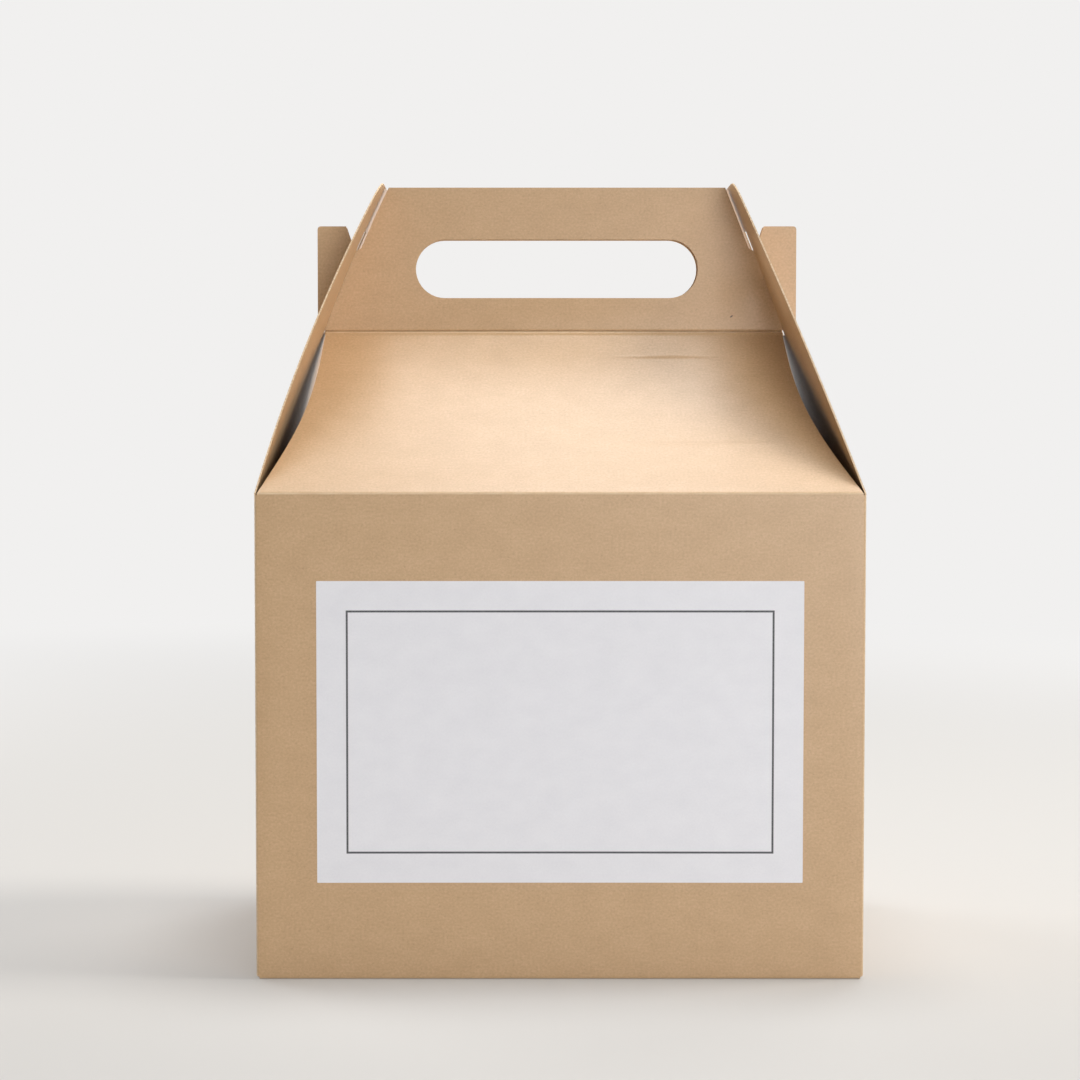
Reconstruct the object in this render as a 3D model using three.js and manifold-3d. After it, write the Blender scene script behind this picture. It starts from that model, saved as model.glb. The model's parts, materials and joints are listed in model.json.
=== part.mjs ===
// Gable box: a small carry carton folded from one die-cut sheet of kraft board.
//
// The walls, the locked bottom, the two sloping roof panels and the two handle
// panels are one folded sheet. The end flaps hang on the side walls, and a slit
// in each one hooks over the ears at the ends of the handle panels.
//
// Millimetres, +Z up. The origin is the middle of the bottom, on the table.
// The front, which carries the label, faces -Y. Heights named "rise" start at
// the top crease of the walls.

import * as THREE from 'three';
import { mergeVertices } from 'three/addons/utils/BufferGeometryUtils.js';
import Module from 'manifold-3d';

const wasm = await Module();
wasm.setup();

// Body
const boardThickness = 0.6;
const bodyWidth = 230;
const bodyDepth = 150;
const wallHeight = 184;
const cornerRadius = 1.2;

// Roof panels
const roofRise = 64;
const roofBow = 2.5;
const roofEdgeHollow = 5.6;

// Handle panels, from the roof crease up to the top edge
const handleGap = 4.8;
const handHoleFoot = 13.6;
const handHoleHeight = 23.7;
const handHoleHead = 21.7;
const handHoleEndMargin = 23.2;

// Ears and notches at the ends of the handle panels
const earReach = 3.7;
const earFoot = 0.8;
const earDrop = 16.4;
const earCornerRadius = 1.5;
const notchDepth = 9.7;
const notchRun = 3.2;

// End flaps
const flapTipSpan = 141;
const flapTipDrop = 2;
const flapTipWidth = 44;
const flapTipRadius = 9;
const flapBow = 3;
const flapRootInset = 0.8;

// Bottom, folded from four flaps
const frontBottomLength = 52;
const sideBottomLength = 62;
const sideBottomTaper = 16;
const tongueWidth = 70;
const tongueLength = 26;
const tongueTaper = 9;

// Glued seam inside the back left corner
const seamTabWidth = 14;
const seamTabInset = 5;

// Label
const labelThickness = 0.15;
const labelSideMargin = 23.25;
const labelHeadMargin = 32.9;
const labelFootMargin = 36.8;
const labelCornerRadius = 1;

// Clearances
const hingeClearance = 0.3;
const edgeClearance = 0.5;
const slitClearance = 0.6;

const curveSteps = 24;
const arcSteps = 16;
const cornerSteps = 6;
const cutOverlap = 5;

// Worked out from the sizes above
const creaseBend = boardThickness / 2 + hingeClearance;
const handleHeight = handHoleFoot + handHoleHeight + handHoleHead;
const handleTopRise = roofRise + handleHeight;
const handleHalfDepth = handleGap / 2 + boardThickness;
const hingeX = (bodyWidth - boardThickness) / 2;
const flapTipRise = handleTopRise - flapTipDrop;
const earTopRise = handleTopRise - earDrop;
const notchRise = earTopRise - notchDepth;
const flapArc = arcThroughHingeAndTip();
const earOuterX = hingeX + flapFaceX(roofRise, 0) + earReach;
const notchX = hingeX + flapFaceX(notchRise, 0);
const notchHalfWidth = boardThickness / 2 + edgeClearance;

// The end flap bows outward along an arc from its hinge to its tip. Distances
// here are from the hinge line, x outward and y up.
function arcThroughHingeAndTip() {
  const tip = new THREE.Vector2(flapTipSpan / 2 - hingeX, flapTipRise);
  const chord = tip.length();
  const radius = (chord * chord / 4 + flapBow * flapBow) / (2 * flapBow);
  const outward = new THREE.Vector2(tip.y, -tip.x).divideScalar(chord);
  const centre = tip.clone().multiplyScalar(0.5).addScaledVector(outward, flapBow - radius);
  const rootAngle = Math.atan2(-centre.y, -centre.x);
  const tipAngle = Math.atan2(tip.y - centre.y, tip.x - centre.x);
  return { centre, radius, rootAngle, tipAngle };
}

function arcPoints(centre, radius, startAngle, endAngle, steps) {
  return Array.from({ length: steps + 1 }, (_, i) => {
    const angle = startAngle + (endAngle - startAngle) * i / steps;
    return new THREE.Vector2(Math.cos(angle), Math.sin(angle)).multiplyScalar(radius).add(centre);
  });
}

// Place of the flap at a height above its hinge, moved inward by inset.
function flapFaceX(rise, inset) {
  const radius = flapArc.radius - inset;
  const height = rise - flapArc.centre.y;
  return flapArc.centre.x + Math.sqrt(radius * radius - height * height);
}

function solidFrom(geometry) {
  const bare = geometry.clone();
  bare.deleteAttribute('normal');
  bare.deleteAttribute('uv');
  const merged = mergeVertices(bare, 1e-5);
  const vertProperties = new Float32Array(merged.attributes.position.array);
  const triVerts = new Uint32Array(merged.index.array);
  return new wasm.Manifold(new wasm.Mesh({ numProp: 3, vertProperties, triVerts }));
}

function geometryFrom(solid) {
  const mesh = solid.getMesh();
  const geometry = new THREE.BufferGeometry();
  geometry.setAttribute('position', new THREE.BufferAttribute(new Float32Array(mesh.vertProperties), 3));
  geometry.setIndex(new THREE.BufferAttribute(new Uint32Array(mesh.triVerts), 1));
  geometry.computeVertexNormals();
  return geometry;
}

function extruded(shape, depth) {
  return new THREE.ExtrudeGeometry(shape, { depth, bevelEnabled: false, curveSegments: arcSteps });
}

// A shape drawn flat in x and z, made thick along y from yStart to yEnd.
function thickAlongY(shape, yStart, yEnd) {
  const axes = new THREE.Matrix4().makeBasis(
    new THREE.Vector3(1, 0, 0),
    new THREE.Vector3(0, 0, 1),
    new THREE.Vector3(0, -1, 0),
  );
  return solidFrom(extruded(shape, yEnd - yStart).applyMatrix4(axes).translate(0, yEnd, 0));
}

// A shape drawn flat in y and z, made thick along x from xStart to xEnd.
function thickAlongX(shape, xStart, xEnd) {
  const axes = new THREE.Matrix4().makeBasis(
    new THREE.Vector3(0, 1, 0),
    new THREE.Vector3(0, 0, 1),
    new THREE.Vector3(1, 0, 0),
  );
  return solidFrom(extruded(shape, xEnd - xStart).applyMatrix4(axes).translate(xStart, 0, 0));
}

// A shape drawn flat in x and y, made thick along z from zStart to zEnd.
function thickAlongZ(shape, zStart, zEnd) {
  return solidFrom(extruded(shape, zEnd - zStart).translate(0, 0, zStart));
}

// The same solid after half a turn about the vertical line through the origin.
function turnedRound(solid) {
  return solidFrom(geometryFrom(solid).applyMatrix4(new THREE.Matrix4().makeScale(-1, -1, 1)));
}

function roundedRectangle(path, halfWidth, halfDepth, radius) {
  const x = halfWidth - radius;
  const y = halfDepth - radius;
  path.absarc(x, y, radius, 0, Math.PI / 2);
  path.absarc(-x, y, radius, Math.PI / 2, Math.PI);
  path.absarc(-x, -y, radius, Math.PI, Math.PI * 1.5);
  path.absarc(x, -y, radius, Math.PI * 1.5, Math.PI * 2);
  path.closePath();
  return path;
}

// The section of a bent sheet: a line of points with half the board on each side.
function sheetSection(line) {
  const half = boardThickness / 2;
  const left = [];
  const right = [];
  line.forEach((point, i) => {
    const before = line[Math.max(i - 1, 0)];
    const after = line[Math.min(i + 1, line.length - 1)];
    const incoming = i > 0 ? point.clone().sub(before).normalize() : after.clone().sub(point).normalize();
    const outgoing = i < line.length - 1 ? after.clone().sub(point).normalize() : incoming;
    const across = new THREE.Vector2(-incoming.y - outgoing.y, incoming.x + outgoing.x).normalize();
    const reach = half / (across.x * -incoming.y + across.y * incoming.x);
    left.push(point.clone().addScaledVector(across, reach));
    right.push(point.clone().addScaledVector(across, -reach));
  });
  return new THREE.Shape(right.concat(left.reverse()));
}

// The front sheet seen from the side: wall, crease, bowed roof, crease, handle.
function frontSheetLine() {
  const wallY = -(bodyDepth - boardThickness) / 2;
  const handleY = -(handleHalfDepth - boardThickness / 2);
  const eaves = new THREE.Vector2(wallY, wallHeight);
  const ridge = new THREE.Vector2(handleY, wallHeight + roofRise);
  const slope = ridge.clone().sub(eaves).normalize();
  const inward = new THREE.Vector2(slope.y, -slope.x);
  const foot = eaves.clone().addScaledVector(slope, creaseBend);
  const head = ridge.clone().addScaledVector(slope, -creaseBend);
  const pull = foot.clone().add(head).multiplyScalar(0.5).addScaledVector(inward, 2 * roofBow);
  const wallLap = new THREE.LineCurve(
    new THREE.Vector2(wallY, wallHeight - creaseBend - cutOverlap),
    new THREE.Vector2(wallY, wallHeight - creaseBend),
  );
  const eavesCrease = new THREE.QuadraticBezierCurve(wallLap.v2, eaves, foot);
  const roof = new THREE.QuadraticBezierCurve(foot, pull, head);
  const handleFoot = new THREE.Vector2(handleY, ridge.y + creaseBend);
  const ridgeCrease = new THREE.QuadraticBezierCurve(head, ridge, handleFoot);
  const handleTop = new THREE.Vector2(handleY, wallHeight + handleTopRise);
  return [wallLap.v1]
    .concat(eavesCrease.getPoints(cornerSteps))
    .concat(roof.getPoints(curveSteps).slice(1))
    .concat(ridgeCrease.getPoints(cornerSteps).slice(1))
    .concat([handleTop]);
}

// One side of the roof and handle outline, from the eaves up to the top corner.
function sideOutline() {
  const points = [];
  const innerFace = boardThickness / 2 + edgeClearance;
  const add = (x, rise) => points.push(new THREE.Vector2(x, wallHeight + rise));
  add(hingeX + flapFaceX(0, innerFace), -creaseBend - cutOverlap);
  for (let i = 0; i <= curveSteps; i += 1) {
    const rise = roofRise * i / curveSteps;
    const hollow = roofEdgeHollow * Math.sin(Math.PI * i / curveSteps);
    add(hingeX + flapFaceX(rise, innerFace) - hollow, rise);
  }
  add(hingeX + flapFaceX(roofRise, innerFace), roofRise + earFoot);
  add(earOuterX, roofRise + earFoot);
  const corner = new THREE.QuadraticBezierCurve(
    new THREE.Vector2(earOuterX, earTopRise - earCornerRadius),
    new THREE.Vector2(earOuterX, earTopRise),
    new THREE.Vector2(earOuterX - earCornerRadius, earTopRise),
  );
  corner.getPoints(cornerSteps).forEach((point) => add(point.x, point.y));
  add(notchX + notchHalfWidth + notchRun, earTopRise);
  add(notchX + notchHalfWidth, notchRise);
  for (let i = 0; i <= cornerSteps; i += 1) {
    const rise = notchRise + (handleTopRise - notchRise) * i / cornerSteps;
    add(hingeX + flapFaceX(rise, innerFace), rise);
  }
  return points;
}

function handHole() {
  const radius = handHoleHeight / 2;
  const reach = notchX - handHoleEndMargin - radius;
  const height = wallHeight + roofRise + handHoleFoot + radius;
  const hole = new THREE.Path();
  hole.absarc(reach, height, radius, -Math.PI / 2, Math.PI / 2);
  hole.absarc(-reach, height, radius, Math.PI / 2, Math.PI * 1.5);
  hole.closePath();
  return hole;
}

// The front roof panel and handle panel: the bent sheet, cut to its outline.
function frontSheet() {
  const right = sideOutline();
  const left = right.map((point) => new THREE.Vector2(-point.x, point.y)).reverse();
  const outline = new THREE.Shape(right.concat(left));
  outline.holes.push(handHole());
  const bent = thickAlongX(sheetSection(frontSheetLine()), -bodyWidth / 2, bodyWidth / 2);
  return bent.intersect(thickAlongY(outline, -bodyDepth / 2 - cutOverlap, 0));
}

function walls() {
  const ring = roundedRectangle(new THREE.Shape(), bodyWidth / 2, bodyDepth / 2, cornerRadius);
  const inside = roundedRectangle(
    new THREE.Path(),
    bodyWidth / 2 - boardThickness,
    bodyDepth / 2 - boardThickness,
    cornerRadius - boardThickness,
  );
  ring.holes.push(inside);
  return thickAlongZ(ring, 0, wallHeight - creaseBend);
}

// The strip of the left wall that is folded round and glued inside the back wall.
function seamTab() {
  const yOuter = bodyDepth / 2 - boardThickness;
  const xOuter = -(bodyWidth / 2 - boardThickness);
  const foot = boardThickness * 2 + seamTabInset;
  const head = wallHeight - creaseBend - seamTabInset;
  const tab = new THREE.Shape();
  tab.moveTo(xOuter, foot);
  tab.lineTo(xOuter + seamTabWidth, foot + seamTabWidth / 2);
  tab.lineTo(xOuter + seamTabWidth, head - seamTabWidth / 2);
  tab.lineTo(xOuter, head);
  tab.closePath();
  return thickAlongY(tab, yOuter - boardThickness, yOuter);
}

// The locked bottom: a front and a back flap outside, two side flaps and the
// tongue of the front flap one board higher, inside.
function bottom() {
  const insideWidth = bodyWidth / 2 - boardThickness;
  const insideDepth = bodyDepth / 2 - boardThickness;
  const seamY = -bodyDepth / 2 + frontBottomLength;

  const frontFlap = new THREE.Shape();
  frontFlap.moveTo(-insideWidth, -insideDepth);
  frontFlap.lineTo(insideWidth, -insideDepth);
  frontFlap.lineTo(insideWidth, seamY);
  frontFlap.lineTo(-insideWidth, seamY);
  frontFlap.closePath();

  const backFlap = new THREE.Shape();
  backFlap.moveTo(-insideWidth, seamY + edgeClearance);
  backFlap.lineTo(insideWidth, seamY + edgeClearance);
  backFlap.lineTo(insideWidth, insideDepth);
  backFlap.lineTo(-insideWidth, insideDepth);
  backFlap.closePath();

  const tongue = new THREE.Shape();
  tongue.moveTo(-tongueWidth / 2, seamY - tongueTaper);
  tongue.lineTo(tongueWidth / 2, seamY - tongueTaper);
  tongue.lineTo(tongueWidth / 2, seamY);
  tongue.lineTo(tongueWidth / 2 - tongueTaper, seamY + tongueLength);
  tongue.lineTo(-tongueWidth / 2 + tongueTaper, seamY + tongueLength);
  tongue.lineTo(-tongueWidth / 2, seamY);
  tongue.closePath();

  const sideFlap = new THREE.Shape();
  sideFlap.moveTo(insideWidth, -insideDepth);
  sideFlap.lineTo(insideWidth, insideDepth);
  sideFlap.lineTo(insideWidth - sideBottomLength, insideDepth - sideBottomTaper);
  sideFlap.lineTo(insideWidth - sideBottomLength, -insideDepth + sideBottomTaper);
  sideFlap.closePath();

  const rightFlap = thickAlongZ(sideFlap, boardThickness, boardThickness * 2);
  return thickAlongZ(frontFlap, 0, boardThickness)
    .add(thickAlongZ(backFlap, 0, boardThickness))
    .add(thickAlongZ(tongue, boardThickness, boardThickness * 2))
    .add(rightFlap)
    .add(turnedRound(rightFlap));
}

function cartonGeometry() {
  const front = frontSheet();
  const carton = walls()
    .add(bottom())
    .add(seamTab())
    .add(front)
    .add(turnedRound(front));
  return geometryFrom(carton);
}

// The flap's section: a bowed strip whose lower edge is rolled about the hinge.
function flapSection() {
  const { centre, radius, rootAngle, tipAngle } = flapArc;
  const half = boardThickness / 2;
  const outerFace = arcPoints(centre, radius + half, rootAngle, tipAngle, curveSteps);
  const innerFace = arcPoints(centre, radius - half, tipAngle, rootAngle, curveSteps);
  const hinge = new THREE.Vector2(0, 0);
  const roll = arcPoints(hinge, half, rootAngle + Math.PI, rootAngle + Math.PI * 2, cornerSteps);
  return new THREE.Shape(outerFace.concat(innerFace, roll.slice(1, -1)));
}

// The flap seen from the end of the box: wide at the hinge, rounded at the tip.
function flapOutline() {
  const rootHalf = bodyDepth / 2 - flapRootInset;
  const tipHalf = flapTipWidth / 2;
  const tipZ = flapTipRise + boardThickness;
  const side = new THREE.Vector2(rootHalf - tipHalf, -tipZ).normalize();
  const outline = new THREE.Shape();
  outline.moveTo(-rootHalf, -boardThickness);
  outline.lineTo(rootHalf, -boardThickness);
  outline.lineTo(rootHalf, 0);
  outline.lineTo(tipHalf + side.x * flapTipRadius, tipZ + side.y * flapTipRadius);
  outline.quadraticCurveTo(tipHalf, tipZ, tipHalf - flapTipRadius, tipZ);
  outline.lineTo(-tipHalf + flapTipRadius, tipZ);
  outline.quadraticCurveTo(-tipHalf, tipZ, -tipHalf - side.x * flapTipRadius, tipZ + side.y * flapTipRadius);
  outline.lineTo(-rootHalf, 0);
  outline.closePath();
  return outline;
}

// The slit follows the path of the ears about the hinge, so the flap swings clear.
function flapSlit() {
  const earFootRadius = Math.hypot(hingeX - earOuterX, roofRise + earFoot);
  const earHeadRadius = Math.hypot(hingeX - notchX - notchHalfWidth - notchRun, earTopRise);
  const ring = new THREE.Shape();
  ring.absarc(0, 0, earHeadRadius + slitClearance, Math.PI / 3, Math.PI, false);
  ring.absarc(0, 0, earFootRadius - slitClearance, Math.PI, Math.PI / 3, true);
  ring.closePath();
  const slitHalfWidth = handleHalfDepth + slitClearance;
  return thickAlongY(ring, -slitHalfWidth, slitHalfWidth);
}

// One end flap, with its hinge line through the origin and leaning towards -X.
function flapGeometry() {
  const strip = thickAlongY(flapSection(), -bodyDepth / 2, bodyDepth / 2);
  const outline = thickAlongX(flapOutline(), -bodyWidth / 2, bodyWidth / 2);
  return geometryFrom(strip.intersect(outline).subtract(flapSlit()));
}

function labelGeometry() {
  const halfWidth = bodyWidth / 2 - labelSideMargin;
  const halfHeight = (wallHeight - labelHeadMargin - labelFootMargin) / 2;
  const label = roundedRectangle(new THREE.Shape(), halfWidth, halfHeight, labelCornerRadius);
  return geometryFrom(thickAlongY(label, -labelThickness, 0));
}

const kraftBoard = { color: 0xc8a27a, roughness: 0.86, metalness: 0 };
const whitePaper = { color: 0xe2e2e8, roughness: 0.6, metalness: 0 };

const gableBox = new THREE.Group();

const carton = new THREE.Mesh(cartonGeometry(), new THREE.MeshStandardMaterial(kraftBoard));
carton.name = 'carton';
gableBox.add(carton);

const label = new THREE.Mesh(labelGeometry(), new THREE.MeshStandardMaterial(whitePaper));
label.name = 'front_label';
label.position.set(0, -bodyDepth / 2, (wallHeight - labelHeadMargin + labelFootMargin) / 2);
gableBox.add(label);

const rightFlap = new THREE.Mesh(flapGeometry(), new THREE.MeshStandardMaterial(kraftBoard));
rightFlap.name = 'right_end_flap';
rightFlap.position.set(hingeX, 0, wallHeight);
gableBox.add(rightFlap);

const leftFlap = new THREE.Mesh(flapGeometry(), new THREE.MeshStandardMaterial(kraftBoard));
leftFlap.name = 'left_end_flap';
leftFlap.position.set(-hingeX, 0, wallHeight);
leftFlap.rotation.z = Math.PI;
gableBox.add(leftFlap);

export default gableBox;
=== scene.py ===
# Gable box of kraft board: a carton folded from one sheet, two hooked end flaps and a paper label.
import json
import math

import bmesh
import bpy
import numpy as np
from mathutils import Matrix, Vector


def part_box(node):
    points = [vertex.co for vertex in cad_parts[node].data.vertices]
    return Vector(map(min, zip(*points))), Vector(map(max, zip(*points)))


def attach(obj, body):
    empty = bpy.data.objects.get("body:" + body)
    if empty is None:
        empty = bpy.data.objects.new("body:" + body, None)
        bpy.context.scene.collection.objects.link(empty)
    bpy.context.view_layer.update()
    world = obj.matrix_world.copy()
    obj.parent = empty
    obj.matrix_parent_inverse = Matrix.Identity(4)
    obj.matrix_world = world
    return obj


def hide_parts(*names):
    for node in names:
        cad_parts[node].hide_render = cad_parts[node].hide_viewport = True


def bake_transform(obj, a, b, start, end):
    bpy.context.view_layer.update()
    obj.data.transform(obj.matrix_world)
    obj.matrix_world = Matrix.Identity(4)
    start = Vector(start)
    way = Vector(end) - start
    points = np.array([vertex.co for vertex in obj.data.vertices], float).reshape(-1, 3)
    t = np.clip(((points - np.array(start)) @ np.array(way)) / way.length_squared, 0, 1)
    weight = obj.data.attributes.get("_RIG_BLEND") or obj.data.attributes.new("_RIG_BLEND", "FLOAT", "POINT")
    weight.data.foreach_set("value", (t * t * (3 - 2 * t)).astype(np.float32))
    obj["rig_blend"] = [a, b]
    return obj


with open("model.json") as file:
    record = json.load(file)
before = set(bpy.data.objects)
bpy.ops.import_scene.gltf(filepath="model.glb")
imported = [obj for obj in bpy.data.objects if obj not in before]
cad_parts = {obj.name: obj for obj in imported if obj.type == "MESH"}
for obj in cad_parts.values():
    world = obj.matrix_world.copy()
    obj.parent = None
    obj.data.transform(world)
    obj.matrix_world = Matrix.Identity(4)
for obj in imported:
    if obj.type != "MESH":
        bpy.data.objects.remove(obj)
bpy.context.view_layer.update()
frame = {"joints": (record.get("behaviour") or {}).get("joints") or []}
print("frame loaded")

mm = 0.001
slack = 1e-6         # m, places closer than this are the same
cutSlack = 1e-7      # m, the same where a sheet is cut
weld = 0.01 * mm     # vertices this close are merged
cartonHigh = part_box("carton")[1]
halfWidth, halfDepth = cartonHigh.x, cartonHigh.y
hinge = next(Vector(joint["pos_m"]) for joint in frame["joints"] if joint["child"] == "right_end_flap")
hingeX = hinge.x     # the end flaps turn on this line
creaseZ = hinge.z    # top of the walls; a "rise" is a height above it
topRise = cartonHigh.z - creaseZ

board = {
    "thickness": 0.6 * mm,
    "cornerRadius": 1.2 * mm,
    "foldReach": 0.6 * mm,     # half the width of a crease, along the board
    "wallBow": 0.7 * mm,       # how far the middle of a wall stands in
    "columnCount": 36,         # strips across a wall
    "wallRowStep": 8 * mm,
    "cornerSteps": 5,
    "foldSteps": 10,           # pieces in the curve of a crease
    "foldRows": 9,             # rows of the net across a crease
}
half = board["thickness"] / 2
flatHalfWidth = halfWidth - board["cornerRadius"]
flatHalfDepth = halfDepth - board["cornerRadius"]
ringTop = creaseZ - board["foldReach"]
columnsX = np.linspace(-flatHalfWidth, flatHalfWidth, board["columnCount"] + 1)
columnsY = np.linspace(-flatHalfDepth, flatHalfDepth, board["columnCount"] * 2 // 3 + 1)

roof = {
    "rise": 64 * mm,
    "sag": 2.5 * mm,           # the panel hangs in between its creases
    "edgeHollow": 5.6 * mm,    # its side edges curve away from the end flaps
    "edgeGap": 0.5 * mm,
    "sagSteps": 40,
    "edgePoints": 33,
    "rowStep": 2.6 * mm,
    "ridgeStep": 0.2 * mm,     # the net is closer about the ridge
    "ridgeBelow": 2.5 * mm,
    "ridgeAbove": 1.5 * mm,
}

handle = {
    "gap": 4.8 * mm,           # air between the front and the back panel
    "topDrop": 0.8 * mm,       # it ends just below the tips of the end flaps
    "holeFoot": 13.6 * mm,     # above the ridge
    "holeHeight": 23.7 * mm,
    "holeLength": 114.5 * mm,
    "holeSteps": 20,
    "backShift": 0.26 * mm,    # the two holes don't line up exactly
    "earX": 97.1 * mm,         # from the middle of the box to the end of an ear
    "earFoot": 0.8 * mm,       # above the ridge
    "earDrop": 16.4 * mm,      # below the top
    "earRadius": 1.5 * mm,
    "earSteps": 6,
    "notchDepth": 9.7 * mm,
    "notchRun": 3.2 * mm,
    "sideGap": 1.3 * mm,       # above the notch the side edges stay off the end flaps
    "sideFoot": 1 * mm,        # and start this far above its foot
    "sidePoints": 9,
    "rowStep": 3 * mm,
}
handleY = -(handle["gap"] / 2 + half)    # middle of the front handle panel's board
handleTop = topRise - handle["topDrop"]

flap = {
    "tipReach": 69.7 * mm,     # from the middle of the box to the tip
    "tipDrop": 0.3 * mm,
    "tipHalfWidth": 22 * mm,
    "tipRadius": 9 * mm,
    "tipSteps": 10,
    "bow": {-1: 3.3 * mm, 1: 1.0 * mm},    # the left one bends more than the right one
    "slitClearance": 0.6 * mm,
    "slitSearch": (40 * mm, 400),    # the slit's ends are looked for above this rise, at so many heights
    "linePoints": 60,
    "foldRows": 11,
    "rowStep": 4 * mm,
}
tipRise = topRise - flap["tipDrop"]


# An end flap leans inward and bows outward along an arc from its hinge to its tip. facing: -1 left, 1 right.
def flapArc(facing):
    bow = flap["bow"][facing]
    tip = Vector((flap["tipReach"] - hingeX, tipRise))
    radius = (tip.length_squared / 4 + bow ** 2) / (2 * bow)
    outward = Vector((tip.y, -tip.x)).normalized()
    return tip / 2 + outward * (bow - radius), radius


flapArcs = {facing: flapArc(facing) for facing in (-1, 1)}


# Distance of an end flap from the middle of the box, at a rise, moved inward by inset.
def flapX(facing, rise, inset=0.0):
    centre, radius = flapArcs[facing]
    return hingeX + centre.x + math.sqrt((radius - inset) ** 2 - (rise - centre.y) ** 2)


earTop = topRise - handle["earDrop"]
notchRise = earTop - handle["notchDepth"]
notchSide = half + roof["edgeGap"]


def quadratic(start, pull, end, steps):
    shares = [i / steps for i in range(steps + 1)]
    return [start.lerp(pull, t).lerp(pull.lerp(end, t), t) for t in shares]


# Heights from low to high with about the given step, both ends included.
def rowsBetween(low, high, step):
    return list(np.linspace(low, high, max(1, round((high - low) / step)) + 1))


# The outer face of a bent sheet, from its middle line: (across, up) points and the length along it.
def outerFace(line):
    points = []
    for i, point in enumerate(line):
        along = (line[min(i + 1, len(line) - 1)] - line[max(i - 1, 0)]).normalized()
        points.append(point + Vector((-along.y, along.x)) * half)
    steps = [0.0] + [(b - a).length for a, b in zip(points, points[1:])]
    lengths = np.cumsum(steps) + points[0].y
    return {"up": [p.y for p in points], "across": [p.x for p in points], "length": lengths}


# The middle of the front sheet's board seen from the side: wall, roof panel and handle, as (y, rise).
def frontLine():
    wallY = -(halfDepth - half)
    eaves = Vector((wallY, 0))
    ridge = Vector((handleY, roof["rise"]))
    slope = (ridge - eaves).normalized()
    foot = eaves + slope * board["foldReach"]
    head = ridge - slope * board["foldReach"]
    pull = (foot + head) / 2 + Vector((slope.y, -slope.x)) * roof["sag"] * 2
    wallEnd = Vector((wallY, -board["foldReach"]))
    handleFoot = Vector((handleY, roof["rise"] + board["foldReach"]))
    pastTop = Vector((handleY, topRise + mm))
    return (
        [wallEnd - Vector((0, board["foldReach"]))]
        + quadratic(wallEnd, eaves, foot, board["foldSteps"])
        + quadratic(foot, pull, head, roof["sagSteps"])[1:]
        + quadratic(head, ridge, handleFoot, board["foldSteps"])[1:]
        + [pastTop]
    )


front = outerFace(frontLine())


def frontY(rise):
    return float(np.interp(rise, front["up"], front["across"]))


# One side of the roof and handle outline, from the eaves up to the top corner, as (distance, rise).
def sideOutline(facing):
    inner = half + roof["edgeGap"]
    points = [(flatHalfWidth, -board["foldReach"])]
    for share in np.linspace(0, 1, roof["edgePoints"]):
        rise = roof["rise"] * share
        hollow = roof["edgeHollow"] * math.sin(math.pi * share)
        points.append((flapX(facing, rise, inner) - hollow, rise))
    earFootRise, earX = roof["rise"] + handle["earFoot"], handle["earX"]
    points += [(flapX(facing, roof["rise"], inner), earFootRise), (earX, earFootRise)]
    corner = quadratic(
        Vector((earX, earTop - handle["earRadius"])),
        Vector((earX, earTop)),
        Vector((earX - handle["earRadius"], earTop)),
        handle["earSteps"],
    )
    points += [tuple(point) for point in corner]
    notchX = flapX(facing, notchRise)
    points.append((notchX + notchSide + handle["notchRun"], earTop))
    points.append((notchX + notchSide, notchRise))
    points.append((notchX - inner, notchRise))
    rises = np.linspace(notchRise + handle["sideFoot"], handleTop, handle["sidePoints"])
    return points + [(flapX(facing, rise, half + handle["sideGap"]), rise) for rise in rises]


# A long hole with round ends, as (x, rise).
def handHole(shift):
    radius = handle["holeHeight"] / 2
    reach = handle["holeLength"] / 2 - radius
    middle = roof["rise"] + handle["holeFoot"] + radius
    points = []
    for side, start in ((1, -math.pi / 2), (-1, math.pi / 2)):
        for angle in np.linspace(start, start + math.pi, handle["holeSteps"] + 1):
            x = side * reach + shift + radius * math.cos(angle)
            points.append((x, middle + radius * math.sin(angle)))
    return points


# Each vertex keeps its place on the unfolded blank, across (u) and up (v), for the board's pattern.
def newSheet():
    bm = bmesh.new()
    bm.verts.layers.float.new("blankU")
    bm.verts.layers.float.new("blankV")
    return bm


def setPlaces(bm, verts, place):
    u, v = bm.verts.layers.float["blankU"], bm.verts.layers.float["blankV"]
    for vert in verts:
        vert[u], vert[v] = place(vert.co)


# A flat sheet in two directions of the board, cut into a net so that it can be bent.
def flatSheet(outline, holes, columns, rows):
    bm = newSheet()
    for loop in [outline, *holes]:
        ring = [bm.verts.new((a, 0, b)) for a, b in loop]
        for pair in zip(ring, ring[1:] + ring[:1]):
            bm.edges.new(pair)
    bmesh.ops.triangle_fill(bm, use_beauty=True, use_dissolve=False, edges=bm.edges[:], normal=(0, -1, 0))
    cuts = [((a, 0, 0), (1, 0, 0)) for a in columns] + [((0, 0, b), (0, 0, 1)) for b in rows]
    for point, across in cuts:
        everything = bm.verts[:] + bm.edges[:] + bm.faces[:]
        bmesh.ops.bisect_plane(bm, geom=everything, dist=cutSlack, plane_co=point, plane_no=across)
    slanted = [
        edge
        for edge in bm.edges
        if not edge.is_boundary
        and abs(edge.verts[0].co.x - edge.verts[1].co.x) > slack
        and abs(edge.verts[0].co.z - edge.verts[1].co.z) > slack
    ]
    bmesh.ops.dissolve_edges(bm, edges=slanted, use_verts=False, use_face_split=False)
    loose = [vert for vert in bm.verts if len(vert.link_edges) == 2 and not vert.is_boundary]
    bmesh.ops.dissolve_verts(bm, verts=loose)
    return bm


def bump(value, centre, reach):
    return math.exp(-(((value - centre) / reach) ** 2))


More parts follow.
